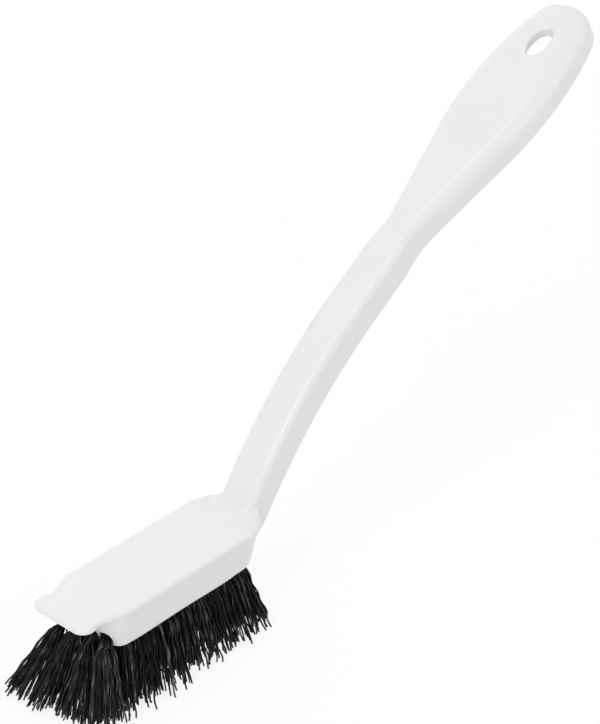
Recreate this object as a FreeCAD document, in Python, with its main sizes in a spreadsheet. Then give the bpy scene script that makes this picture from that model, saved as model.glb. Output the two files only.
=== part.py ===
import FreeCAD, Part
import math
import os
import Sketcher

Vector = FreeCAD.Vector

# Sizes in millimetres and degrees
sizes = {
    # Head plate with its scraping lip
    "plate_width": 27.0,
    "plate_thickness": 1.5,
    "plate_rear_reach": 40.6,
    "plate_edge_radius": 0.8,
    "lip_reach": 41.3,
    "lip_width": 22.9,
    "lip_corner_radius": 3.9,
    "lip_waist_width": 21.4,
    "lip_waist_radius": 5.0,
    "lip_flare_angle": 19.0,
    "lip_flare_radius": 12.0,
    # Block under the plate that holds the tufts
    "head_depth": 13.4,
    "block_width": 26.2,
    "block_front_reach": 33.0,
    "block_rear_reach": 39.8,
    "foot_width": 24.4,
    "foot_front_reach": 28.1,
    "foot_rear_reach": 35.8,
    "foot_corner_radius": 4.0,
    "block_corner_radius": 9.0,
    "foot_chamfer": 0.9,
    # Side view of the handle
    "neck_base_reach": 33.1,
    "neck_rise_angle": 57.6,
    "neck_bend_angle": 23.8,
    "neck_top_radius": 179.8,
    "neck_under_radius": 184.8,
    "neck_under_drop": 5.0,
    "neck_foot_radius": 5.0,
    "neck_foot_side_radius": 2.4,
    "neck_root_depth": 6.0,
    "gusset_inset": 1.5,
    "grip_top_radius": 985.0,
    "handle_depth": 10.9,
    # Plan of the handle, drawn square to the grip
    "grip_slope_angle": 30.0,
    "neck_width": 13.2,
    "neck_length": 91.3,
    "neck_tail": 20.0,
    "shoulder_radius": 19.2,
    "waist_width": 11.5,
    "waist_radius": 35.1,
    "flank_angle": 10.6,
    "flank_length": 33.4,
    "end_radius": 10.6,
    "handle_length": 202.1,
    # Rounded top edges and hollow underside of the handle
    "neck_edge_radius": 2.2,
    "flank_edge_radius": 3.8,
    "end_edge_radius": 5.6,
    "handle_roof": 2.8,
    "handle_wall": 1.6,
    "core_start": 20.0,
    # Hanging hole
    "hang_hole_length": 10.9,
    "hang_hole_width": 7.0,
    "hang_hole_setback": 19.0,
    "hang_hole_chamfer": 0.5,
    # Tufts and their holes
    "trim_length": 23.1,
    "tuft_hole_diameter": 4.2,
    "tuft_hole_depth": 6.5,
    "tuft_flare_start": 1.8,
    "tuft_pitch": 6.25,
    "tuft_tip_length": 7.2,
    "tuft_tip_width": 11.4,
    "side_row_start": -21.9,
    "side_row_offset": 7.8,
    "side_row_lean_angle": 12.0,
    "side_row_front_lean_angle": 12.0,
    "side_row_rear_lean_angle": 5.5,
    "middle_row_start": -18.75,
    "middle_row_front_lean_angle": 10.0,
    "middle_row_rear_lean_angle": 6.0,
    "second_row_start": -25.0,
    "second_row_offset": 3.2,
    "second_row_lean_angle": 14.0,
    "second_row_side_lean_angle": 3.0,
    "second_tip_width": 7.8,
    "front_row_rise": 3.0,
    "front_row_pitch": 5.5,
    "front_row_lean_angle": 20.0,
    "front_row_fan_angle": 13.4,
    # Wire anchors that hold the tufts
    "anchor_thickness": 0.45,
    "anchor_width": 1.9,
    "anchor_floor_gap": 0.8,
    # Clearances and the overrun of every cut
    "tuft_clearance": 0.05,
    "anchor_clearance": 0.02,
    "overrun": 3.0,
}
long_row_count = 9
front_row_count = 4
tuft_sides = 8
flute_share = 0.86

doc = FreeCAD.newDocument("grout_brush")
dims = doc.addObject("Spreadsheet::Sheet", "dims")
for row, (alias, number) in enumerate(sizes.items(), 1):
    dims.set("A%d" % row, alias)
    dims.set("B%d" % row, str(number))
    dims.setAlias("B%d" % row, alias)
doc.recompute()


def measure(expression):
    # The number that an expression of the sheet gives
    value = dims.evalExpression(expression)
    return getattr(value, "Value", value)


class Sizes:
    def __getattr__(self, alias):
        return float(dims.get(alias))


size = Sizes()
plate_top = size.trim_length + size.head_depth
rise = math.radians(size.neck_rise_angle)
crest = math.radians(size.neck_rise_angle - size.neck_bend_angle)
slope = math.radians(size.grip_slope_angle)
flank = math.radians(size.flank_angle)
touch = size.plate_thickness / 1000


# Sketches
def new_sketch(body, name, role, lift="0"):
    sketch = body.newObject("Sketcher::SketchObject", name)
    plane = [item for item in body.Origin.OriginFeatures if item.Role == role][0]
    sketch.AttachmentSupport = [(plane, "")]
    sketch.MapMode = "FlatFace"
    sketch.setExpression("AttachmentOffset.Base.z", lift)
    return sketch


def hold(sketch, kind, *parts):
    return sketch.addConstraint(Sketcher.Constraint(kind, *parts))


def drive(sketch, name, expression, kind, *parts):
    # A named measure of the sketch that follows the sheet
    number = hold(sketch, kind, *parts, measure(expression))
    sketch.renameConstraint(number, name)
    sketch.setExpression("Constraints." + name, expression)


class Path:
    # A chain of lines and arcs, each kept as its number and its first and last ends
    def __init__(self, sketch, start):
        self.sketch = sketch
        self.start = Vector(*start)
        self.point = self.start
        self.pieces = []

    def add(self, shape, first, last, target, joint):
        piece = (self.sketch.addGeometry(shape, False), first, last)
        if self.pieces:
            number, _, end = self.pieces[-1]
            hold(self.sketch, joint, number, end, piece[0], first)
        self.pieces.append(piece)
        self.point = target
        return piece[0]

    def line(self, target, joint="Coincident"):
        target = Vector(*target)
        return self.add(Part.LineSegment(self.point, target), 1, 2, target, joint)

    def arc(self, centre, target, turn, joint="Tangent"):
        centre = Vector(*centre)
        target = Vector(*target)
        start, stop = (self.point, target) if turn > 0 else (target, self.point)
        angles = [math.atan2(spot.y - centre.y, spot.x - centre.x) for spot in (start, stop)]
        if angles[1] < angles[0]:
            angles[1] += 2 * math.pi
        circle = Part.Circle(centre, Vector(0, 0, 1), (self.point - centre).Length)
        ends = (1, 2) if turn > 0 else (2, 1)
        return self.add(Part.ArcOfCircle(circle, *angles), *ends, target, joint)

    def close(self):
        first = self.pieces[0]
        last = self.pieces[-1]
        hold(self.sketch, "Coincident", last[0], last[2], first[0], first[1])


def flip(point):
    return (point.x, -point.y)


def mirror(path):
    # The same chain on the other side of the sketch's X axis
    sketch = path.sketch
    other = Path(sketch, flip(path.start))
    for number, first, last in path.pieces:
        target = flip(sketch.getPoint(number, last))
        if sketch.Geometry[number].TypeId == "Part::GeomLineSegment":
            other.line(target)
        else:
            centre = flip(sketch.getPoint(number, 3))
            copy = other.arc(centre, target, -1 if first == 1 else 1, "Coincident")
            hold(sketch, "Equal", number, copy)
    for one, two in zip(path.pieces, other.pieces):
        hold(sketch, "Symmetric", one[0], one[1], two[0], two[1], -1)
    one = path.pieces[-1]
    two = other.pieces[-1]
    hold(sketch, "Symmetric", one[0], one[2], two[0], two[2], -1)
    return other


def close_outline(path, centre, start_joint):
    # A line across the starts of a chain and its mirror, and a round end past their ends
    sketch = path.sketch
    other = mirror(path)
    front = Path(sketch, other.start)
    line = front.line(path.start)
    hold(sketch, "Coincident", line, 1, other.pieces[0][0], other.pieces[0][1])
    hold(sketch, start_joint, line, 2, path.pieces[0][0], path.pieces[0][1])
    end = Path(sketch, path.point)
    arc = end.arc((centre, 0), other.point, -1)
    hold(sketch, "Tangent", arc, 2, path.pieces[-1][0], path.pieces[-1][2])
    hold(sketch, "Coincident", arc, 1, other.pieces[-1][0], other.pieces[-1][2])
    return arc


def pad(body, name, sketch, length, side="One side"):
    feature = body.newObject("PartDesign::Pad", name)
    feature.Profile = sketch
    feature.SideType = side
    feature.setExpression("Length", length)
    doc.recompute()
    return feature


# Edges
def edge_numbers(shape, test):
    numbers = []
    for number, edge in enumerate(shape.Edges, 1):
        if all(test(point) for point in edge.discretize(5)):
            numbers.append(number)
    return numbers


def at_level(level):
    return lambda point: abs(point.z - level) < touch


def dress_edges(body, kind, name, feature, level, measure_name, expression):
    # Rounds or chamfers every edge of a body's feature that lies at one level
    numbers = edge_numbers(feature.Shape, at_level(level))
    dressed = body.newObject("PartDesign::" + kind, name)
    dressed.Base = (feature, ["Edge%d" % number for number in numbers])
    dressed.setExpression(measure_name, expression)
    doc.recompute()
    return dressed


# Head
def plate_outline(body):
    sketch = new_sketch(body, "plate_outline", "XY_Plane",
                        "dims.trim_length + dims.head_depth - dims.plate_thickness")
    half = size.plate_width / 2
    corner = size.lip_corner_radius
    hollow = size.lip_waist_radius
    bulge = size.lip_flare_radius
    flare = math.radians(size.lip_flare_angle)
    rear = size.plate_rear_reach - half
    lip_centre = Vector(corner - size.lip_reach, size.lip_width / 2 - corner)
    waist_level = size.lip_waist_width / 2 + hollow
    span = corner + hollow
    waist_along = math.sqrt(span ** 2 - (waist_level - lip_centre.y) ** 2)
    waist_centre = Vector(lip_centre.x + waist_along, waist_level)
    lip_end = lip_centre + (waist_centre - lip_centre) * (corner / span)
    aside = Vector(math.sin(flare), -math.cos(flare))
    flare_start = waist_centre + aside * hollow
    climb = half - bulge * (1 - math.cos(flare)) - flare_start.y
    flare_end = flare_start + Vector(climb / math.tan(flare), climb)
    side_centre = flare_end + aside * bulge

    path = Path(sketch, (-size.lip_reach, lip_centre.y))
    lip_corner = path.arc(lip_centre, lip_end, -1)
    waist = path.arc(waist_centre, flare_start, 1)
    flare_line = path.line(flare_end, "Tangent")
    side_start = path.arc(side_centre, (side_centre.x, half), -1)
    side = path.line((rear, half), "Tangent")
    end = close_outline(path, rear, "Tangent")

    drive(sketch, "lip_front", "-dims.lip_reach", "DistanceX", lip_corner, 2)
    drive(sketch, "lip_corner", "dims.lip_corner_radius", "Radius", lip_corner)
    drive(sketch, "lip_centre", "dims.lip_width / 2 - dims.lip_corner_radius", "DistanceY", lip_corner, 3)
    drive(sketch, "waist_radius", "dims.lip_waist_radius", "Radius", waist)
    drive(sketch, "waist_level", "dims.lip_waist_width / 2 + dims.lip_waist_radius",
          "DistanceY", waist, 3)
    drive(sketch, "flare_turn", "dims.lip_waist_radius * sin(dims.lip_flare_angle * 1 deg)",
          "DistanceX", waist, 3, flare_line, 1)
    drive(sketch, "side_start", "dims.lip_flare_radius", "Radius", side_start)
    hold(sketch, "Horizontal", side)
    drive(sketch, "plate_half", "dims.plate_width / 2", "DistanceY", side, 1)
    drive(sketch, "rear_centre", "dims.plate_rear_reach - dims.plate_width / 2", "DistanceX", end, 3)
    return sketch


def block_outline(body, name, lift):
    # One level of the block: a straight front with round corners and a half-round rear
    sketch = new_sketch(body, name + "_outline", "XY_Plane", lift)
    half = measure("dims.%s_width / 2" % name)
    front = -measure("dims.%s_front_reach" % name)
    rear = measure("dims.%s_rear_reach" % name) - half
    corner = measure("dims.%s_corner_radius" % name)

    path = Path(sketch, (front, half - corner))
    turn = path.arc((front + corner, half - corner), (front + corner, half), -1)
    side = path.line((rear, half), "Tangent")
    end = close_outline(path, rear, "Tangent")

    drive(sketch, "front", "-dims.%s_front_reach" % name, "DistanceX", turn, 2)
    drive(sketch, "corner", "dims.%s_corner_radius" % name, "Radius", turn)
    hold(sketch, "Horizontal", side)
    drive(sketch, "half", "dims.%s_width / 2" % name, "DistanceY", side, 1)
    drive(sketch, "rear_centre", "dims.%s_rear_reach - dims.%s_width / 2" % (name, name),
          "DistanceX", end, 3)
    return sketch


def make_head():
    body = doc.addObject("PartDesign::Body", "head")
    plate = pad(body, "plate", plate_outline(body), "dims.plate_thickness")
    dress_edges(body, "Fillet", "plate_rounding", plate, plate_top, "Radius", "dims.plate_edge_radius")
    upper = block_outline(body, "block", "dims.trim_length + dims.head_depth - dims.plate_thickness")
    lower = block_outline(body, "foot", "dims.trim_length")
    block = body.newObject("PartDesign::AdditiveLoft", "block")
    block.Profile = upper
    block.Sections = [lower]
    block.Ruled = True
    doc.recompute()
    dress_edges(body, "Chamfer", "foot_chamfer", block, size.trim_length, "Size", "dims.foot_chamfer")
    return body


# Handle
neck_centre = Vector(size.neck_base_reach + size.neck_top_radius * math.sin(rise),
                     plate_top - size.neck_top_radius * math.cos(rise))
crest_normal = Vector(-math.sin(crest), math.cos(crest))
neck_end = neck_centre + crest_normal * size.neck_top_radius
grip_centre = neck_end - crest_normal * size.grip_top_radius
grip_reach = size.neck_base_reach + size.handle_length * math.cos(slope) + size.overrun


def grip_spot(inset, across):
    # The point of the grip's curve, a depth under its top, at one place along X
    radius = size.grip_top_radius - inset
    return Vector(across, grip_centre.y + math.sqrt(radius ** 2 - (across - grip_centre.x) ** 2))


def top_line(path, inset, inset_expr):
    # The neck and grip curves at a depth under the top of the handle
    sketch = path.sketch
    bend = neck_centre + crest_normal * (size.neck_top_radius - inset)
    neck = path.arc(neck_centre, bend, -1)
    grip = path.arc(grip_centre, grip_spot(inset, grip_reach), -1)
    drive(sketch, "neck_centre_along", "dims.neck_base_reach + dims.neck_top_radius"
          " * sin(dims.neck_rise_angle * 1 deg)", "DistanceX", neck, 3)
    drive(sketch, "neck_centre_up", "dims.trim_length + dims.head_depth - dims.neck_top_radius"
          " * cos(dims.neck_rise_angle * 1 deg)", "DistanceY", neck, 3)
    drive(sketch, "neck_radius", "dims.neck_top_radius" + inset_expr, "Radius", neck)
    drive(sketch, "neck_end", "dims.neck_base_reach + dims.neck_top_radius"
          " * sin(dims.neck_rise_angle * 1 deg) - (dims.neck_top_radius" + inset_expr + ")"
          " * sin((dims.neck_rise_angle - dims.neck_bend_angle) * 1 deg)", "DistanceX", neck, 1)
    drive(sketch, "grip_radius", "dims.grip_top_radius" + inset_expr, "Radius", grip)
    drive(sketch, "grip_reach", "dims.neck_base_reach + dims.handle_length"
          " * cos(dims.grip_slope_angle * 1 deg) + dims.overrun", "DistanceX", grip, 1)
    return neck, grip


def handle_side(body):
    # Side view: up the neck from inside the block, the grip, then back along the underside
    sketch = new_sketch(body, "handle_side_outline", "XZ_Plane")
    root = plate_top - size.neck_root_depth
    root_start = neck_centre.x - math.sqrt(size.neck_top_radius ** 2 - (root - neck_centre.y) ** 2)
    under_end = neck_end - crest_normal * size.handle_depth
    under_centre = under_end - crest_normal * size.neck_under_radius
    drop = plate_top - size.neck_under_drop
    under_start = under_centre.x - math.sqrt(size.neck_under_radius ** 2 - (drop - under_centre.y) ** 2)

    path = Path(sketch, (root_start, root))
    neck, grip = top_line(path, 0, "")
    end = path.line(grip_spot(size.handle_depth, grip_reach))
    grip_under = path.arc(grip_centre, under_end, 1, "Coincident")
    neck_under = path.arc(under_centre, (under_start, drop), 1)
    gusset = path.line((size.foot_rear_reach - size.gusset_inset, size.trim_length + size.gusset_inset))
    path.line(path.start)
    path.close()

    drive(sketch, "root_level", "dims.trim_length + dims.head_depth - dims.neck_root_depth",
          "DistanceY", neck, 2)
    hold(sketch, "Vertical", end)
    hold(sketch, "Coincident", grip, 3, grip_under, 3)
    drive(sketch, "under_radius", "dims.grip_top_radius - dims.handle_depth", "Radius", grip_under)
    drive(sketch, "under_end", "dims.handle_depth"
          " * sin((dims.neck_rise_angle - dims.neck_bend_angle) * 1 deg)",
          "DistanceX", neck, 1, grip_under, 2)
    drive(sketch, "neck_under_radius", "dims.neck_under_radius", "Radius", neck_under)
    drive(sketch, "under_start", "dims.trim_length + dims.head_depth - dims.neck_under_drop",
          "DistanceY", gusset, 1)
    drive(sketch, "gusset_along", "dims.foot_rear_reach - dims.gusset_inset", "DistanceX", gusset, 2)
    drive(sketch, "gusset_up", "dims.trim_length + dims.gusset_inset", "DistanceY", gusset, 2)
    return sketch


def core_side(body):
    # Side view of the hollow, a roof under the handle's top and open below
    sketch = new_sketch(body, "core_side_outline", "XZ_Plane")
    start = size.neck_base_reach + size.handle_roof * math.sin(rise)
    roof = grip_spot(size.handle_roof, grip_reach)
    path = Path(sketch, (start, plate_top - size.handle_roof * math.cos(rise)))
    neck, grip = top_line(path, size.handle_roof, " - dims.handle_roof")
    end = path.line((grip_reach, roof.y - size.handle_depth - size.overrun))
    below = path.line((start, size.trim_length))
    back = path.line(path.start)
    path.close()

    drive(sketch, "start", "dims.neck_base_reach + dims.handle_roof * sin(dims.neck_rise_angle * 1 deg)",
          "DistanceX", neck, 2)
    hold(sketch, "Vertical", end)
    drive(sketch, "end_drop", "dims.handle_depth + dims.overrun", "DistanceY", end, 2, end, 1)
    drive(sketch, "below", "dims.trim_length", "DistanceY", below, 2)
    hold(sketch, "Vertical", back)
    return sketch


def plan_layout(inset, start):
    # The corner points and centres of half the plan, drawn in by an inset
    spots = {}
    neck = size.neck_width / 2
    waist = size.waist_width / 2
    shoulder_radius = size.shoulder_radius - inset
    waist_radius = size.waist_radius + inset
    spots["start"] = Vector(start, neck - inset)
    spots["shoulder"] = Vector(size.neck_length, neck - inset)
    middle = Vector(size.neck_length, neck - size.shoulder_radius)
    spots["shoulder_centre"] = middle
    hollow_level = waist - inset + waist_radius
    span = shoulder_radius + waist_radius
    turn = math.acos((hollow_level - middle.y) / span)
    heading = Vector(math.sin(turn), math.cos(turn))
    spots["waist"] = middle + heading * shoulder_radius
    hollow = middle + heading * span
    spots["waist_centre"] = hollow
    spots["flank"] = hollow + Vector(math.sin(flank), -math.cos(flank)) * waist_radius
    far = spots["flank"] + Vector(math.cos(flank), math.sin(flank)) * size.flank_length
    spots["belly"] = far
    end_radius = size.end_radius - inset
    end_centre = Vector(size.handle_length - size.end_radius, 0)
    away = far - end_centre
    inward = Vector(math.sin(flank), -math.cos(flank))
    belly_radius = (end_radius ** 2 - away.dot(away)) / (2 * (away.dot(inward) + end_radius))
    belly_centre = far + inward * belly_radius
    spots["belly_centre"] = belly_centre
    spots["end_centre"] = end_centre
    spots["end"] = end_centre + (end_centre - belly_centre).normalize() * end_radius
    return spots


def plan_outline(body, name, inset, inset_expr, start_expr):
    # The handle seen square to its grip, from the neck's start to its round end
    sketch = new_sketch(body, name, "XY_Plane", "dims.trim_length + dims.head_depth")
    sketch.AttachmentOffset = FreeCAD.Placement(
        Vector(size.neck_base_reach, 0, plate_top),
        FreeCAD.Rotation(Vector(0, -1, 0), size.grip_slope_angle))
    sketch.setExpression("AttachmentOffset.Base.x", "dims.neck_base_reach")
    sketch.setExpression("AttachmentOffset.Rotation.Angle", "dims.grip_slope_angle * 1 deg")
    spots = plan_layout(inset, measure(start_expr))

    path = Path(sketch, spots["start"])
    neck = path.line(spots["shoulder"])
    shoulder = path.arc(spots["shoulder_centre"], spots["waist"], -1)
    waist = path.arc(spots["waist_centre"], spots["flank"], 1)
    side = path.line(spots["belly"], "Tangent")
    path.arc(spots["belly_centre"], spots["end"], -1)
    end = close_outline(path, spots["end_centre"].x, "Coincident")

    drive(sketch, "start", start_expr, "DistanceX", neck, 1)
    hold(sketch, "Horizontal", neck)
    drive(sketch, "neck_length", "dims.neck_length", "DistanceX", neck, 2)
    drive(sketch, "neck_half", "dims.neck_width / 2" + inset_expr, "DistanceY", neck, 2)
    drive(sketch, "shoulder_radius", "dims.shoulder_radius" + inset_expr, "Radius", shoulder)
    drive(sketch, "waist_radius", "dims.waist_radius" + inset_expr.replace("-", "+"), "Radius", waist)
    drive(sketch, "waist_level", "dims.waist_width / 2 + dims.waist_radius", "DistanceY", waist, 3)
    drive(sketch, "side_along", "dims.flank_length * cos(dims.flank_angle * 1 deg)",
          "DistanceX", side, 1, side, 2)
    drive(sketch, "side_out", "dims.flank_length * sin(dims.flank_angle * 1 deg)",
          "DistanceY", side, 1, side, 2)
    drive(sketch, "end_radius", "dims.end_radius" + inset_expr, "Radius", end)
    drive(sketch, "end_centre", "dims.handle_length - dims.end_radius", "DistanceX", end, 3)
    return sketch


def crossing(name, first, second):
    common = doc.addObject("Part::Common", name)
    common.Base = first
    common.Tool = second
    doc.recompute()
    return common


def cut(name, base, tool):
    feature = doc.addObject("Part::Cut", name)
    feature.Base = base
    feature.Tool = tool
    doc.recompute()
    return feature


def along_grip(point):
    # How far a point lies along the plan of the handle
    return (point.x - size.neck_base_reach) * math.cos(slope) + (point.z - plate_top) * math.sin(slope)


def top_edge_radius(point):
    spots = plan_layout(0, 0)
    stations = [spots["shoulder"].x, spots["belly"].x, spots["end_centre"].x]
    radii = [size.neck_edge_radius, size.flank_edge_radius, size.end_edge_radius]
    place = along_grip(point)
    if place <= stations[0]:
        return radii[0]
    for step in (0, 1):
        if place <= stations[step + 1]:
            share = (place - stations[step]) / (stations[step + 1] - stations[step])
            return radii[step] + (radii[step + 1] - radii[step]) * share
    return radii[-1]


def on_top(point):
    spot = Vector(point.x, point.z)
    neck_gap = abs((spot - neck_centre).Length - size.neck_top_radius)
    grip_gap = abs((spot - grip_centre).Length - size.grip_top_radius)
    return min(neck_gap, grip_gap) < touch


def make_handle():
    side_body = doc.addObject("PartDesign::Body", "handle_side")
    pad(side_body, "handle_side_pad", handle_side(side_body), "2 * dims.plate_width", "Symmetric")
    plan_body = doc.addObject("PartDesign::Body", "handle_plan")
    plan = plan_outline(plan_body, "handle_plan_outline", 0, "", "-dims.neck_tail")
    pad(plan_body, "handle_plan_pad", plan, "2 * dims.handle_length", "Symmetric")
    form = crossing("handle_form", side_body, plan_body)

    rounded = doc.addObject("Part::Fillet", "handle_rounding")
    rounded.Base = form
    edges = []
    for number in edge_numbers(form.Shape, on_top):
        edge = form.Shape.Edges[number - 1]
        ends = [vertex.Point for vertex in (edge.Vertexes[0], edge.Vertexes[-1])]
        if abs(ends[0].x - ends[1].x) > touch or edge.Curve.TypeId != "Part::GeomLine":
            edges.append((number, top_edge_radius(ends[0]), top_edge_radius(ends[1])))
    rounded.Edges = edges
    doc.recompute()

    core_body = doc.addObject("PartDesign::Body", "core_side")
    pad(core_body, "core_side_pad", core_side(core_body), "2 * dims.plate_width", "Symmetric")
    core_plan = doc.addObject("PartDesign::Body", "core_plan")
    inner = plan_outline(core_plan, "core_plan_outline", size.handle_wall, " - dims.handle_wall",
                         "dims.core_start")
    pad(core_plan, "core_plan_pad", inner, "2 * dims.handle_length", "Symmetric")
    core = crossing("core", core_body, core_plan)
    shell = cut("handle_shell", rounded, core)

    place = size.handle_length - size.hang_hole_setback
    guess = size.neck_base_reach + place * math.cos(slope)
    for _ in range(20):
        spot = grip_spot(0, guess)
        guess += (place - along_grip(Vector(spot.x, 0, spot.y))) / math.cos(slope)
    spot = grip_spot(0, guess)
    oval = doc.addObject("Part::Ellipse", "hang_hole_oval")
    oval.setExpression("MajorRadius", "dims.hang_hole_length / 2")
    oval.setExpression("MinorRadius", "dims.hang_hole_width / 2")
    oval.Placement.Base = Vector(spot.x, 0, spot.y - size.handle_depth - size.overrun)
    column = doc.addObject("Part::Extrusion", "hang_hole")
    column.Base = oval
    column.DirMode = "Custom"
    column.Dir = Vector(0, 0, 1)
    column.Solid = True
    column.setExpression("LengthFwd", "dims.handle_depth + 4 * dims.overrun")
    doc.recompute()
    pierced = cut("handle_pierced", shell, column)

    def on_rim(point):
        along = (point.x - spot.x) / (size.hang_hole_length / 2)
        across = point.y / (size.hang_hole_width / 2)
        return on_top(point) and abs(along ** 2 + across ** 2 - 1) < touch

    rim = doc.addObject("Part::Chamfer", "handle")
    rim.Base = pierced
    bevel = size.hang_hole_chamfer
    rim.Edges = [(number, bevel, bevel) for number in edge_numbers(pierced.Shape, on_rim)]
    doc.recompute()
    return rim, rounded


# Rounding between the neck and the plate
def make_foot(head, neck):
    # Made on a slab in the top of the plate, and kept where the plate's top is flat
    slab = doc.addObject("Part::Box", "foot_slab")
    slab.setExpression("Length", "dims.plate_width + dims.handle_depth / 2")
    slab.setExpression("Width", "2 * dims.plate_width")
    slab.setExpression("Height", "dims.plate_thickness / 2")
    slab.setExpression("Placement.Base.x", "dims.neck_base_reach - dims.plate_width")
    slab.setExpression("Placement.Base.y", "-dims.plate_width")
    slab.setExpression("Placement.Base.z", "dims.trim_length + dims.head_depth - dims.plate_thickness / 2")
    form = doc.addObject("Part::Fuse", "foot_form")
    form.Base = slab
    form.Tool = neck
    doc.recompute()
    neck_half = size.neck_width / 2

    def on_foot(point):
        return at_level(plate_top)(point) and abs(point.y) < neck_half + touch

    def is_flat(face):
        return all(at_level(plate_top)(vertex.Point) for vertex in face.Vertexes)

    def radius(vertex):
        return size.neck_foot_side_radius if abs(vertex.Y) > neck_half - touch else size.neck_foot_radius

    rounded = doc.addObject("Part::Fillet", "foot_rounding")
    rounded.Base = form
    edges = []
    for number in edge_numbers(form.Shape, on_foot):
        ends = form.Shape.Edges[number - 1].Vertexes
        edges.append((number, radius(ends[0]), radius(ends[-1])))
    rounded.Edges = edges

    flat = doc.addObject("Part::Feature", "plate_flat")
    flat.Shape = [face for face in head.Shape.Faces if is_flat(face)][0]
    column = doc.addObject("Part::Extrusion", "foot_limit")
    column.Base = flat
    column.DirMode = "Custom"
    column.Dir = Vector(0, 0, 1)
    column.Solid = True
    column.setExpression("LengthFwd", "2 * dims.neck_foot_radius")
    column.setExpression("LengthRev", "dims.plate_thickness")
    return crossing("neck_foot", rounded, column)


# Tufts
def lean_direction(forward, sideways):
    return Vector(-math.tan(math.radians(forward)), math.tan(math.radians(sideways)), -1).normalize()


def tuft_plan():
    # Every tuft's name, mouth, direction and tip width
    tufts = []
    foot = size.trim_length

    def add(row, number, mouth, forward, sideways, width):
        name = "tuft_%s_%02d" % (row, number)
        tufts.append((name, Vector(*mouth), lean_direction(forward, sideways), width))

    for step in range(long_row_count):
        share = step / (long_row_count - 1)
        side_lean = size.side_row_front_lean_angle * (1 - share) - size.side_row_rear_lean_angle * share
        middle_lean = size.middle_row_front_lean_angle * (1 - share)
        middle_lean -= size.middle_row_rear_lean_angle * share
        side_along = size.side_row_start + step * size.tuft_pitch
        middle_along = size.middle_row_start + step * size.tuft_pitch
        for row, sign in (("left", -1), ("right", 1)):
            mouth = (side_along, sign * size.side_row_offset, foot)
            add(row, step + 1, mouth, side_lean, sign * size.side_row_lean_angle, size.tuft_tip_width)
        add("middle", step + 1, (middle_along, 0, foot), middle_lean, 0, size.tuft_tip_width)
    for number, sign in enumerate((-1, 1), 1):
        mouth = (size.second_row_start, sign * size.second_row_offset, foot)
        add("second", number, mouth, size.second_row_lean_angle, sign * size.second_row_side_lean_angle,
            size.second_tip_width)
    rise_share = size.front_row_rise / (size.head_depth - size.plate_thickness)
    front = size.foot_front_reach + (size.block_front_reach - size.foot_front_reach) * rise_share
    for step in range(front_row_count):
        place = step - (front_row_count - 1) / 2
        mouth = (-front, place * size.front_row_pitch, foot + size.front_row_rise)
        add("front", step + 1, mouth, size.front_row_lean_angle, place * size.front_row_fan_angle,
            size.tuft_tip_width)
    return tufts


def ring(centre, along, across, flute):
    # The corners of an outline with two half sizes, every other one drawn in to a share
    points = []
    for step in range(tuft_sides):
        angle = (2 * step + 1) * math.pi / tuft_sides
        share = flute if step % 2 else 1
        points.append(centre + (along * math.cos(angle) + across * math.sin(angle)) * share)
    return points


def flat_face(points):
    return Part.Face(Part.makePolygon(points + points[:1]))


def fluted_solid(rings):
    # A closed solid of flat facets through rings with the same number of corners
    faces = [flat_face(rings[0][::-1]), flat_face(rings[-1])]
    for upper, lower in zip(rings, rings[1:]):
        for step in range(len(upper)):
            one, two = upper[step - 1], upper[step]
            three, four = lower[step], lower[step - 1]
            faces.append(flat_face([one, two, three]))
            faces.append(flat_face([one, three, four]))
    return Part.Solid(Part.Shell(faces)).removeSplitter()


def make_tuft(name, mouth, direction, width, fold):
    rotation = FreeCAD.Rotation(Vector(), Vector(0, 1, 0), direction, "ZYX")
    radius = size.tuft_hole_diameter / 2 - size.tuft_clearance
    along = rotation.multVec(Vector(radius, 0, 0))
    across = rotation.multVec(Vector(0, radius, 0))
    root = mouth - direction * (size.tuft_hole_depth - size.tuft_clearance)
    flare = mouth + direction * size.tuft_flare_start
    tip = mouth - direction * (mouth.z / direction.z)
    tip_along = Vector(-size.tuft_tip_length / 2, 0, 0)
    tip_across = Vector(0, width / 2, 0)
    rings = [ring(root, along, across, 1), ring(flare, along, across, 1),
             ring(tip, tip_along, tip_across, flute_share)]
    form = doc.addObject("Part::Feature", name + "_form")
    form.Shape = fluted_solid(rings)
    return cut(name, form, fold)


def anchor_box(name, mouth, direction, gap):
    # The wire that wedges across a tuft's hole, or with a gap the tuft's fold around it
    rotation = FreeCAD.Rotation(Vector(), Vector(0, 1, 0), direction, "ZYX")
    box = doc.addObject("Part::Box", name)
    box.setExpression("Length", "dims.anchor_thickness" + gap)
    box.setExpression("Width", "dims.tuft_hole_diameter * cos(180 deg / %d) - dims.anchor_clearance"
                      % tuft_sides + gap)
    box.setExpression("Height", "dims.anchor_width" + gap)
    doc.recompute()
    middle = Vector(box.Length.Value, box.Width.Value, box.Height.Value) / 2
    depth = size.tuft_hole_depth - size.anchor_floor_gap - size.anchor_width / 2
    centre = mouth - direction * depth
    box.Placement = FreeCAD.Placement(centre - rotation.multVec(middle), rotation)
    return box


def compound(name, items):
    group = doc.addObject("Part::Compound", name)
    group.Links = items
    doc.recompute()
    return group


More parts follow.
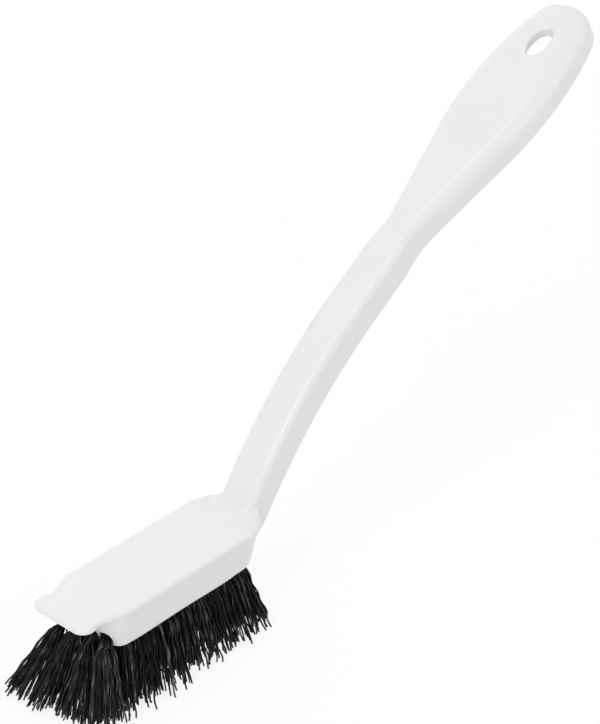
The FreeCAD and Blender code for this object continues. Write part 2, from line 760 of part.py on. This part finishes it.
holes = []
anchors = []
tufts = []
for name, mouth, direction, width in tuft_plan():
    hole = doc.addObject("Part::Prism", name + "_hole")
    hole.Polygon = tuft_sides
    hole.setExpression("Circumradius", "dims.tuft_hole_diameter / 2")
    hole.setExpression("Height", "dims.tuft_hole_depth + dims.overrun")
    rotation = FreeCAD.Rotation(Vector(), Vector(0, 1, 0), direction, "ZYX")
    half_step = FreeCAD.Rotation(Vector(0, 0, 1), 180 / tuft_sides)
    hole.Placement = FreeCAD.Placement(mouth - direction * size.tuft_hole_depth, rotation * half_step)
    holes.append(hole)
    anchors.append(anchor_box(name + "_anchor", mouth, direction, ""))
    fold = anchor_box(name + "_fold", mouth, direction, " + 2 * dims.anchor_clearance")
    tufts.append(make_tuft(name, mouth, direction, width, fold))

head = make_head()
handle, plain_handle = make_handle()
whole = doc.addObject("Part::MultiFuse", "whole_form")
whole.Shapes = [head, handle, make_foot(head, plain_handle)]
doc.recompute()
moulded = cut("moulded_body", whole, compound("tuft_holes", holes))
wires = compound("tuft_anchors", anchors)

nodes = [moulded, wires] + tufts
doc.recompute()
for item in doc.Objects:
    if "Invalid" in item.State or "Error" in item.State:
        raise RuntimeError("%s did not build" % item.Label)
for node in nodes:
    if node.Shape.isNull() or not node.Shape.isValid():
        raise RuntimeError("%s has no valid shape" % node.Label)
os.makedirs("parts", exist_ok=True)
for node in nodes:
    node.Shape.exportStep("parts/%s.step" % node.Label)
    print(node.Label, len(node.Shape.Solids), round(node.Shape.Volume))
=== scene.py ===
import math
import random

import bmesh
import bpy
from mathutils import Matrix, Vector


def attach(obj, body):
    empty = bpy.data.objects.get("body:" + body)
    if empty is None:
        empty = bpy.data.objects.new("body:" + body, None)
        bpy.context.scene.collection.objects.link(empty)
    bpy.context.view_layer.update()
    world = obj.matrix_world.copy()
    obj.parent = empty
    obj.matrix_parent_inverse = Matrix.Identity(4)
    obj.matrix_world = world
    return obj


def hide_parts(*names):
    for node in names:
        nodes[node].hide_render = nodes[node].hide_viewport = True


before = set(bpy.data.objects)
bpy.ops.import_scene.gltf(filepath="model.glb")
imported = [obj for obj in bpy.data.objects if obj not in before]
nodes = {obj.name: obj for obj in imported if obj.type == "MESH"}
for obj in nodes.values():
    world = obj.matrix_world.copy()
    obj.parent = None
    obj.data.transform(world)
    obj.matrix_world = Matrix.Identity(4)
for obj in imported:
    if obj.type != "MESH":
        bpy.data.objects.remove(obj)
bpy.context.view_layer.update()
scene = bpy.context.scene
scene.view_settings.view_transform = "Standard"
print("frame loaded,", len(nodes), "nodes")


# one socket of a node tree, used in sums and passed on to other nodes
class Flow:
    def __init__(self, tree, socket=None):
        self.tree = tree
        self.socket = socket

    def node(self, kind, settings=None, inputs=None, output=0):
        made = self.tree.nodes.new(kind)
        for name, value in (settings or {}).items():
            setattr(made, name, value)
        for name, value in (inputs or {}).items():
            feed(made, name, value)
        return Flow(self.tree, made.outputs[output])

    def combine(self, operation, first, second):
        return self.node("ShaderNodeMath", {"operation": operation}, {0: first, 1: second})

    def __add__(self, other):
        return self.combine("ADD", self, other)

    def __radd__(self, other):
        return self.combine("ADD", other, self)

    def __mul__(self, other):
        return self.combine("MULTIPLY", self, other)

    def __rmul__(self, other):
        return self.combine("MULTIPLY", other, self)


# helpers for materials, pieces and things that are aimed
noiseSpan = (0.2, 0.8)  # where most of a noise's values lie
colourMix = {"factor": 0, "first": 6, "second": 7, "result": 2}  # a Mix node's sockets for colours


def feed(node, name, value):
    if isinstance(value, Flow):
        value.tree.links.new(value.socket, node.inputs[name])
    else:
        node.inputs[name].default_value = value


def newMaterial(name):
    material = bpy.data.materials.new(name)
    material.use_nodes = True
    tree = material.node_tree
    return material, Flow(tree), tree.nodes["Principled BSDF"]


def objectPlace(start):
    return start.node("ShaderNodeTexCoord", output="Object")


def noise(start, scale, detail):
    return start.node("ShaderNodeTexNoise", {}, {
        "Vector": objectPlace(start), "Scale": scale, "Detail": detail})


def blendColour(factor, first, second):
    inputs = {colourMix["factor"]: factor, colourMix["first"]: first, colourMix["second"]: second}
    return factor.node("ShaderNodeMix", {"data_type": "RGBA"}, inputs, colourMix["result"])


def mapRange(value, span, low, high):  # the span stretched to run from low to high
    return value.node("ShaderNodeMapRange", {"clamp": True}, {
        "Value": value, "From Min": span[0], "From Max": span[1], "To Min": low, "To Max": high})


def finishPiece(bm, name, material):
    mesh = bpy.data.meshes.new(name)
    bm.to_mesh(mesh)
    bm.free()
    mesh.materials.append(material)
    piece = bpy.data.objects.new(name, mesh)
    scene.collection.objects.link(piece)
    return piece


def dress(piece, material):
    piece.data.materials.clear()
    piece.data.materials.append(material)


def placeAimed(name, data, place, aim):
    thing = bpy.data.objects.new(name, data)
    thing.location = place
    thing.rotation_mode = "QUATERNION"
    thing.rotation_quaternion = (Vector(aim) - Vector(place)).to_track_quat("-Z", "Y")
    scene.collection.objects.link(thing)
    return thing


# camera
camera = {
    "azimuth": -47.8,
    "elevation": 31.4,
    "distance": 0.750,
    "target": (0.06475, 0.0, 0.07615),
    "lens": 120.0,
    "sensor": 36.0,
}


def makeCamera():
    data = bpy.data.cameras.new("camera")
    data.lens = camera["lens"]
    data.sensor_width = camera["sensor"]
    turn = math.radians(camera["azimuth"])
    rise = math.radians(camera["elevation"])
    level = Vector((math.sin(turn), -math.cos(turn), 0)) * math.cos(rise)
    back = level + Vector((0, 0, math.sin(rise)))
    place = Vector(camera["target"]) + back * camera["distance"]
    scene.camera = placeAimed("camera", data, place, camera["target"])


makeCamera()
print("camera placed")


# floor, world and lamps
studio = {
    "floorSize": 2.5,
    "floorDrop": 0.0004,
    "floorColour": (0.91, 0.91, 0.91, 1.0),
    "floorRoughness": 0.9,
    "floorGlow": 0.86,  # share of plain white seen under the brush
    "floorFade": (0.24, 0.62),  # distances over which the floor turns all white
    "white": (1.0, 1.0, 1.0, 1.0),
    "ambient": 0.79,
    "lamps": [
        # name, place, aim, width, power
        ("keyLamp", (-0.92, -0.14, 1.02), (0.06, 0.0, 0.06), 0.50, 4.4),
        ("topLamp", (-0.22, -0.20, 1.36), (0.06, 0.0, 0.06), 0.45, 1.5),
        ("rimLamp", (0.55, 0.95, 0.85), (0.06, 0.0, 0.06), 0.8, 1.2),
        ("sideLamp", (0.36, -0.44, 0.26), (0.07, 0.0, 0.085), 0.30, 0.23),
    ],
}


def shownAsWhite(start):  # 1 for what is seen straight, in a reflection or through a clear piece
    seen = [start.node("ShaderNodeLightPath", output="Is " + kind + " Ray")
            for kind in ("Camera", "Glossy", "Transmission")]
    return start.combine("MAXIMUM", start.combine("MAXIMUM", seen[0], seen[1]), seen[2])


def makeFloor():
    bm = bmesh.new()
    bmesh.ops.create_grid(bm, x_segments=1, y_segments=1, size=studio["floorSize"] / 2)
    bmesh.ops.translate(bm, verts=bm.verts, vec=(0, 0, -studio["floorDrop"]))
    material, start, shader = newMaterial("paleFloor")
    feed(shader, "Base Color", studio["floorColour"])
    feed(shader, "Roughness", studio["floorRoughness"])
    glow = start.node("ShaderNodeEmission", {}, {"Color": studio["white"], "Strength": 1.0})
    away = start.node("ShaderNodeVectorMath", {"operation": "LENGTH"}, {0: objectPlace(start)}, "Value")
    share = shownAsWhite(start) * mapRange(away, studio["floorFade"], studio["floorGlow"], 1.0)
    plain = Flow(start.tree, shader.outputs[0])
    mixed = start.node("ShaderNodeMixShader", {}, {0: share, 1: plain, 2: glow})
    feed(start.tree.nodes["Material Output"], "Surface", mixed)
    finishPiece(bm, "floor", material)


def makeWorld():
    world = bpy.data.worlds.new("studio")
    scene.world = world
    world.use_nodes = True
    back = world.node_tree.nodes["Background"]
    seen = shownAsWhite(Flow(world.node_tree))
    feed(back, "Color", studio["white"])
    feed(back, "Strength", studio["ambient"] + seen * (1 - studio["ambient"]))


def makeLamps():
    for name, place, aim, width, power in studio["lamps"]:
        data = bpy.data.lights.new(name, "AREA")
        data.shape = "DISK"
        data.size = width
        data.energy = power
        lamp = placeAimed(name, data, place, aim)
        lamp.visible_camera = False


makeFloor()
makeWorld()
makeLamps()
print("studio lit")


# satin white plastic of the moulded body; each noise is a scale and a detail
plastic = {
    "white": (0.752, 0.753, 0.760, 1.0),
    "cloud": (0.732, 0.733, 0.740, 1.0),
    "cloudNoise": (38.0, 3.0),
    "rippleNoise": (120.0, 1.0),
    "rippleHeight": 0.000012,
    "grainNoise": (2600.0, 2.0),
    "grainHeight": 0.00002,
    "roughness": (0.30, 0.34),
    "refraction": 1.49,
}


def makePlastic():
    material, start, shader = newMaterial("satinWhitePlastic")
    cloud = noise(start, *plastic["cloudNoise"])
    ripple = noise(start, *plastic["rippleNoise"])
    grain = noise(start, *plastic["grainNoise"])
    patches = mapRange(cloud, noiseSpan, 0.0, 1.0)
    feed(shader, "Base Color", blendColour(patches, plastic["white"], plastic["cloud"]))
    feed(shader, "Roughness", mapRange(ripple, noiseSpan, *plastic["roughness"]))
    soft = start.node("ShaderNodeBump", {}, {
        "Height": ripple, "Strength": 1.0, "Distance": plastic["rippleHeight"]})
    fine = start.node("ShaderNodeBump", {}, {
        "Height": grain, "Strength": 1.0, "Distance": plastic["grainHeight"], "Normal": soft})
    feed(shader, "Normal", fine)
    feed(shader, "IOR", plastic["refraction"])
    return material


body = nodes["moulded_body"]
dress(body, makePlastic())
print("body finished")


# bristle tufts, each a bundle of single strands
bristle = {
    "seed": 7293,
    "count": 50,  # strands in a tuft
    "radius": 0.00032,
    "sides": 3,
    "steps": 15,
    "tuftSides": 8,  # corners in each ring of the tuft's solid
    "mergeDigits": 7,
    "rootShare": 0.55,  # how far up the hole a strand starts
    "rootPinch": 0.75,
    "hole": 0.00172,  # reach of the outer strands at the hole's mouth
    "packing": 0.5,  # lower puts more strands on the outside
    "goldenTurn": 2.39996,
    "turnJitter": 0.25,
    "spread": (1.08, 1.02),  # strand ends against the solid's, along and across the brush
    "squared": 0.7,  # 1 would spread the ends over a square
    "flare": 0.48,
    "rearFlare": 0.12,
    "rearStart": 0.025,
    "flareRange": (0.7, 1.3),
    "flareRise": 17,  # higher opens the tuft sooner below its hole
    "sideLean": 0.0042,  # far side only, growing towards the front
    "sideLeanPower": 3,
    "sideFront": 0.0268,
    "ragged": 0.0044,
    "stray": 0.0009,
    "wave": 0.0080,
    "waveRange": (0.8, 1.25),
    "swing": 0.00031,
    "swingRange": (0.5, 1.3),
    "swingOnset": 0.25,
    "shinePower": 3.2,  # higher leaves fewer strands with a painted highlight
    "glintBase": 0.15,
    "black": (0.0040, 0.0040, 0.0042, 1.0),
    # painted highlight colour, blended over the black where strands carry painted glints
    "paintedHighlightGrey": (0.20, 0.20, 0.203, 1.0),
    "gloss": 0.20,
    "speckNoise": (900.0, 2.0),
    "speckGlint": (0.4, 1.2),  # base and gain of the speck noise on the painted highlight
    "speckRoughness": (0.24, 0.2),
}
frontRow = {
    **bristle,
    "count": 86,
    "hole": 0.00196,
    "packing": 0.4,
    "spread": (1.06, 1.32),
    "flare": 0.46,
    "frontLean": 0.0029,
    "headSide": 0.0178,
    "farTuck": 0.45,
    "nearCut": 0.0036,
    "farCut": 0.0016,
}


def makeBristleBlack():
    material, start, shader = newMaterial("bristleBlack")
    paintedGlint = start.node("ShaderNodeAttribute", {"attribute_name": "paintedGlint"}, output="Fac")
    speck = noise(start, *bristle["speckNoise"])
    glintSpeckBase, glintSpeckGain = bristle["speckGlint"]
    roughBase, roughGain = bristle["speckRoughness"]
    # painted highlights: the grey is blended over the black where the painted glint is high, broken up
    # by the speck noise
    paintedGlintMask = paintedGlint * (glintSpeckBase + speck * glintSpeckGain)
    feed(shader, "Base Color", blendColour(paintedGlintMask, bristle["black"], bristle["paintedHighlightGrey"]))
    feed(shader, "Roughness", roughBase + speck * roughGain)
    feed(shader, "Specular IOR Level", bristle["gloss"])
    return material


def strandTemplate():  # a straight strand of rings, each a step above the last
    bm = bmesh.new()
    bmesh.ops.create_circle(bm, cap_ends=True, segments=bristle["sides"], radius=1.0)
    rim = list(bm.edges)
    for step in range(bristle["steps"]):
        grown = bmesh.ops.extrude_edge_only(bm, edges=rim)["geom"]
        rim = [item for item in grown if isinstance(item, bmesh.types.BMEdge)]
        corners = [item for item in grown if isinstance(item, bmesh.types.BMVert)]
        bmesh.ops.translate(bm, verts=corners, vec=(0, 0, 1))
    bmesh.ops.contextual_create(bm, geom=rim)
    bmesh.ops.recalc_face_normals(bm, faces=bm.faces)
    for face in bm.faces:
        face.smooth = len(face.verts) == 4  # the caps stay flat
    mesh = bpy.data.meshes.new("strand")
    bm.to_mesh(mesh)
    bm.free()
    return mesh


def tuftFrame(node):  # middle of the cut tips, half sizes there, mouth, root, and the line up the hole
    merged = {tuple(round(c, bristle["mergeDigits"]) for c in v.co) for v in node.data.vertices}
    corners = [Vector(c) for c in sorted(merged, key=lambda c: c[2])]
    ringSize = bristle["tuftSides"]
    tips = corners[:ringSize]
    collar = corners[ringSize:2 * ringSize]
    tip = sum(tips, Vector()) / ringSize
    mouth = sum(collar, Vector()) / ringSize
    up = (mouth - tip).normalized()
    depth = max((c - mouth).dot(up) for c in corners)
    root = mouth + up * (bristle["rootShare"] * depth)
    half = (max(abs(t.x - tip.x) for t in tips), max(abs(t.y - tip.y) for t in tips))
    return tip, half, mouth, root, up


def strandEnd(rng, spot, tip, half, row):  # where a strand ends, and how much is cut off there
    along, across = row["spread"]
    square = 1 + row["squared"] * (math.hypot(*spot) / max(abs(spot[0]), abs(spot[1])) - 1)
    end = tip + Vector((spot[0] * half[0] * along, spot[1] * half[1] * across, 0)) * square
    end += Vector((rng.gauss(0, 1), rng.gauss(0, 1), 0)) * row["stray"]
    cut = rng.random() * row["ragged"]
    if row is frontRow:
        end.y -= row["farTuck"] * max(0, end.y - row["headSide"])
        side = end.y / row["headSide"]
        end.x -= row["frontLean"] * max(0, 1 + side)
        cut += row["nearCut" if side < 0 else "farCut"] * side ** 2
    elif tip.y > 0:
        end.x -= row["sideLean"] * max(0, -tip.x / row["sideFront"]) ** row["sideLeanPower"]
    return end, cut


def strandLine(rng, spot, tuft, row):  # points down one strand, each with its share of painted highlight for the base colour
    tip, half, mouth, root, up = tuft
    across = up.cross(Vector((1, 0, 0))).normalized()
    along = across.cross(up)
    off = (along * spot[0] - across * spot[1]) * row["hole"]
    begin = mouth + off
    flare = row["rearFlare" if tip.x > row["rearStart"] else "flare"] * rng.uniform(*row["flareRange"])
    end, cut = strandEnd(rng, spot, tip, half, row)
    end += (begin - end).normalized() * cut
    length = (end - begin).length
    lateral = end - begin + up * length
    heading = rng.random() * math.tau
    swing = Vector((math.cos(heading), math.sin(heading), 0))
    phase = rng.random() * math.tau
    wave = row["wave"] * rng.uniform(*row["waveRange"])
    swingSize = row["swing"] * rng.uniform(*row["swingRange"])
    shine = rng.random() ** row["shinePower"]
    points = [(root + off * row["rootPinch"], 0.0)]
    for step in range(row["steps"]):
        share = step / (row["steps"] - 1)
        turn = phase + math.tau * length * share / wave
        opened = share + flare * (1 - share) * (1 - (1 - share) ** row["flareRise"])
        point = begin - up * (length * share) + lateral * opened
        point += swing * (math.sin(turn) * swingSize * min(1, share / row["swingOnset"]))
        # crimp sides turned towards the light get a painted highlight, stronger on strands with more
        # shine
        facing = max(0, math.sin(turn + heading)) ** 2
        points.append((point, shine * (row["glintBase"] + (1 - row["glintBase"]) * facing)))
    return points


def makeTuft(name, template, material, rng):
    tuft = tuftFrame(nodes[name])
    row = frontRow if "front" in name else bristle
    sides = row["sides"]
    bm = bmesh.new()
    # each ring carries its share of painted highlight, read by the bristle material as a painted glint
    paintedGlint = bm.verts.layers.float.new("paintedGlint")
    for number in range(row["count"]):
        reach = ((number + 0.5) / row["count"]) ** row["packing"]
        turn = number * row["goldenTurn"] + rng.uniform(-row["turnJitter"], row["turnJitter"])
        line = strandLine(rng, (reach * math.cos(turn), reach * math.sin(turn)), tuft, row)
        spin = Matrix.Rotation(rng.random() * math.tau, 4, "Z")
        flat = Matrix.Diagonal((row["radius"], row["radius"], 0, 1))
        ring = Matrix.Rotation(math.pi, 4, "X") @ spin @ flat  # faces down, as a strand grows
        first = len(bm.verts)
        bm.from_mesh(template)
        bm.verts.ensure_lookup_table()
        for step, (point, glint) in enumerate(line):
            ahead = line[min(step + 1, len(line) - 1)][0] - line[max(step - 1, 0)][0]
            lean = Vector((0, 0, -1)).rotation_difference(ahead).to_matrix().to_4x4()
            place = Matrix.Translation(point) @ lean @ ring
            for corner in bm.verts[first + step * sides:first + (step + 1) * sides]:
                corner.co = place @ corner.co
                corner[paintedGlint] = glint
    piece = finishPiece(bm, name.replace("tuft", "bristles"), material)
    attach(piece, "root")
    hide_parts(name)


def makeBristles():
    template = strandTemplate()
    material = makeBristleBlack()
    rng = random.Random(bristle["seed"])
    for name in sorted(nodes):
        if name.startswith("tuft_") and name != "tuft_anchors":
            makeTuft(name, template, material, rng)
    bpy.data.meshes.remove(template)


makeBristles()
print("bristles set")


# brass wire anchors
anchor = {
    "brass": (0.62, 0.43, 0.17, 1.0),
    "dull": (0.42, 0.29, 0.13, 1.0),
    "patchNoise": (1400.0, 3.0),
    "patchRoughness": (0.25, 0.3),  # base and gain on the patches
}


def makeBrass():
    material, start, shader = newMaterial("anchorBrass")
    patch = noise(start, *anchor["patchNoise"])
    roughBase, roughGain = anchor["patchRoughness"]
    feed(shader, "Base Color", blendColour(patch, anchor["brass"], anchor["dull"]))
    feed(shader, "Metallic", 1.0)
    feed(shader, "Roughness", roughBase + patch * roughGain)
    return material


wires = nodes["tuft_anchors"]
dress(wires, makeBrass())
print("anchors finished")
